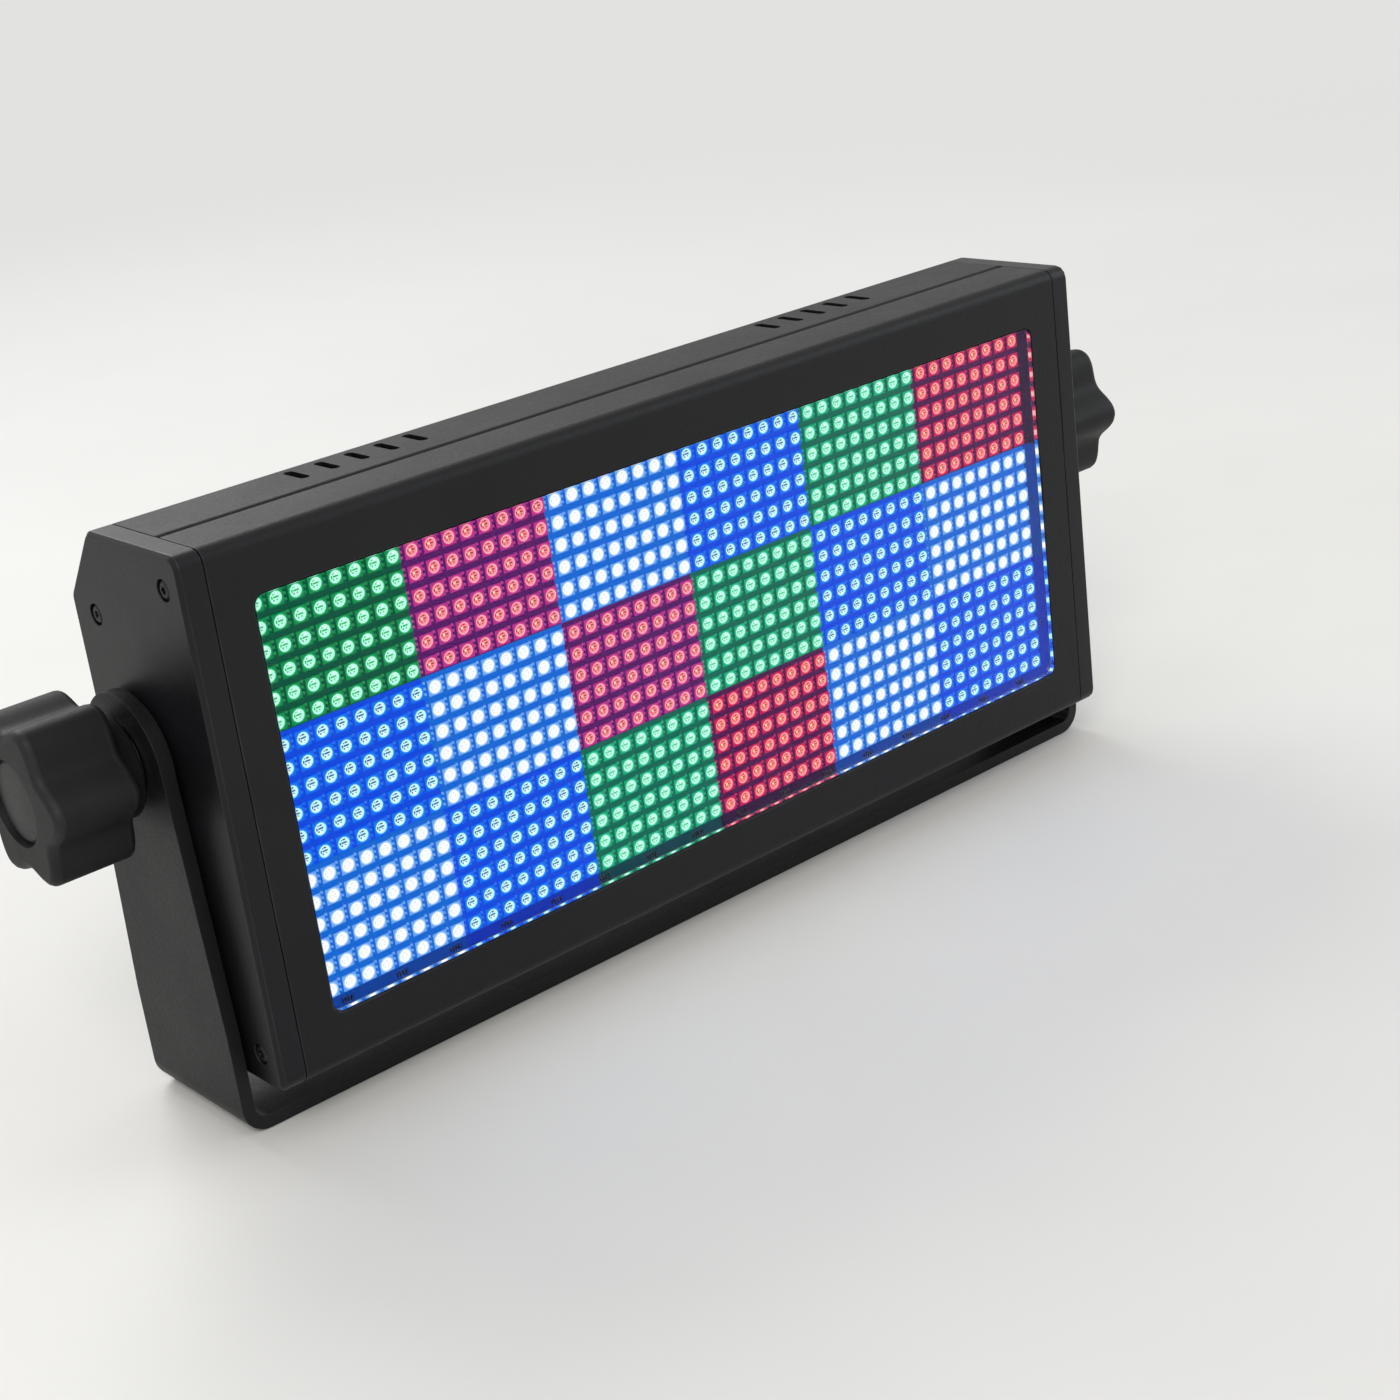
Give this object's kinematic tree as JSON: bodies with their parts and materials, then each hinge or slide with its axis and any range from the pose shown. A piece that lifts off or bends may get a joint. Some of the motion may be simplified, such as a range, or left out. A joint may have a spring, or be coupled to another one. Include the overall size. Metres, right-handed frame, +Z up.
{
  "type": "strobe light",
  "caption": "Flat LED strobe light: a chamfered metal head with a wide window over a grid of lamps, tilting in a U bracket between two lobed clamp knobs.",
  "frame": {"origin": "middle of the outer box, on the plane that the bracket's bar stands on", "axes": "+X to the right seen from the front, along the pivots; +Y away from the viewer, from the lamp window to the rear panel; +Z up"},
  "size_m": [0.416, 0.0826, 0.17],
  "materials": {
    "powder_coat": "fine black powder coat on folded steel sheet",
    "moulded_black": "black moulded nylon",
    "black_rubber": "black rubber",
    "clear_window": "clear polished window",
    "lamp_packages": "white lamp packages with a clear filled cup on a black board",
    "bare_aluminium": "extruded, unpainted",
    "zinc_steel": "zinc plated",
    "insert_brass": "turned",
    "dark_pane": "smoked display cover",
    "display_glass": "dark blue display, unlit",
    "circuit_board": "green lacquered circuit board",
    "ferrite_core": "dark ferrite",
    "sleeved_can": "shrink sleeve over a can"
  },
  "bodies": {
    "bracket": {"tilt_bracket": "powder_coat"},
    "head": {"front_cover": "powder_coat", "top_shell": "powder_coat", "bottom_shell": "powder_coat", "rear_panel": "powder_coat", "window_pane": "clear_window", "window_gasket": "black_rubber", "left_lamp_board": "lamp_packages", "right_lamp_board": "lamp_packages", "heatsink": "bare_aluminium", "chassis_plate": "zinc_steel", "left_end_cap": "moulded_black", "left_pivot_insert": "insert_brass", "left_friction_washer": "black_rubber", "left_steel_washer": "zinc_steel", "right_end_cap": "moulded_black", "right_pivot_insert": "insert_brass", "right_friction_washer": "black_rubber", "right_steel_washer": "zinc_steel", "fan_frame": "moulded_black", "fan_guard": "powder_coat", "display_pane": "dark_pane", "display_module": "display_glass", "display_board": "circuit_board", "signal_inlet": "zinc_steel", "signal_outlet": "moulded_black", "mains_inlet": "moulded_black", "mains_outlet": "moulded_black", "fuse_holder": "moulded_black", "safety_eye": "zinc_steel", "supply_board": "circuit_board", "supply_transformer": "ferrite_core", "supply_capacitor_1": "sleeved_can", "supply_capacitor_2": "sleeved_can", "supply_choke": "ferrite_core", "supply_cooler": "bare_aluminium", "supply_terminals": "circuit_board", "driver_board": "circuit_board"},
    "left_clamp": {"left_knob": "moulded_black", "left_knob_stud": "zinc_steel"},
    "right_clamp": {"right_knob": "moulded_black", "right_knob_stud": "zinc_steel"},
    "fan": {"fan_rotor": "moulded_black"},
    "button_1": {"menu_button_1": "moulded_black"},
    "button_2": {"menu_button_2": "moulded_black"},
    "button_3": {"menu_button_3": "moulded_black"},
    "button_4": {"menu_button_4": "moulded_black"},
    "latch": {"signal_outlet_latch": "zinc_steel"},
    "fuse": {"fuse_cap": "moulded_black"}
  },
  "joints": [
    {"name": "head_tilt", "type": "hinge", "parent": "bracket", "child": "head", "pos_m": [0, -0.00125, 0.10802], "axis": [1, 0, 0], "continuous": true},
    {"name": "left_knob_turn", "type": "hinge", "parent": "head", "child": "left_clamp", "pos_m": [-0.18, -0.00125, 0.10802], "axis": [1, 0, 0], "continuous": true},
    {"name": "right_knob_turn", "type": "hinge", "parent": "head", "child": "right_clamp", "pos_m": [0.18, -0.00125, 0.10802], "axis": [1, 0, 0], "continuous": true},
    {"name": "fan_spin", "type": "hinge", "parent": "head", "child": "fan", "pos_m": [0.10626, 0.011, 0.09302], "axis": [0, 1, 0], "continuous": true},
    {"name": "menu_button_1_press", "type": "slide", "parent": "head", "child": "button_1", "axis": [0, -1, 0], "range_m": [0, 0.001], "stiffness_N_per_m": 500},
    {"name": "menu_button_2_press", "type": "slide", "parent": "head", "child": "button_2", "axis": [0, -1, 0], "range_m": [0, 0.001], "stiffness_N_per_m": 500},
    {"name": "menu_button_3_press", "type": "slide", "parent": "head", "child": "button_3", "axis": [0, -1, 0], "range_m": [0, 0.001], "stiffness_N_per_m": 500},
    {"name": "menu_button_4_press", "type": "slide", "parent": "head", "child": "button_4", "axis": [0, -1, 0], "range_m": [0, 0.001], "stiffness_N_per_m": 500},
    {"name": "signal_latch_press", "type": "slide", "parent": "head", "child": "latch", "axis": [0, -1, 0], "range_m": [0, 0.0012], "stiffness_N_per_m": 500},
    {"name": "fuse_cap_turn", "type": "hinge", "parent": "head", "child": "fuse", "pos_m": [0.01127, 0.02, 0.05452], "axis": [0, 1, 0], "range_deg": [0, 90]}
  ]
}
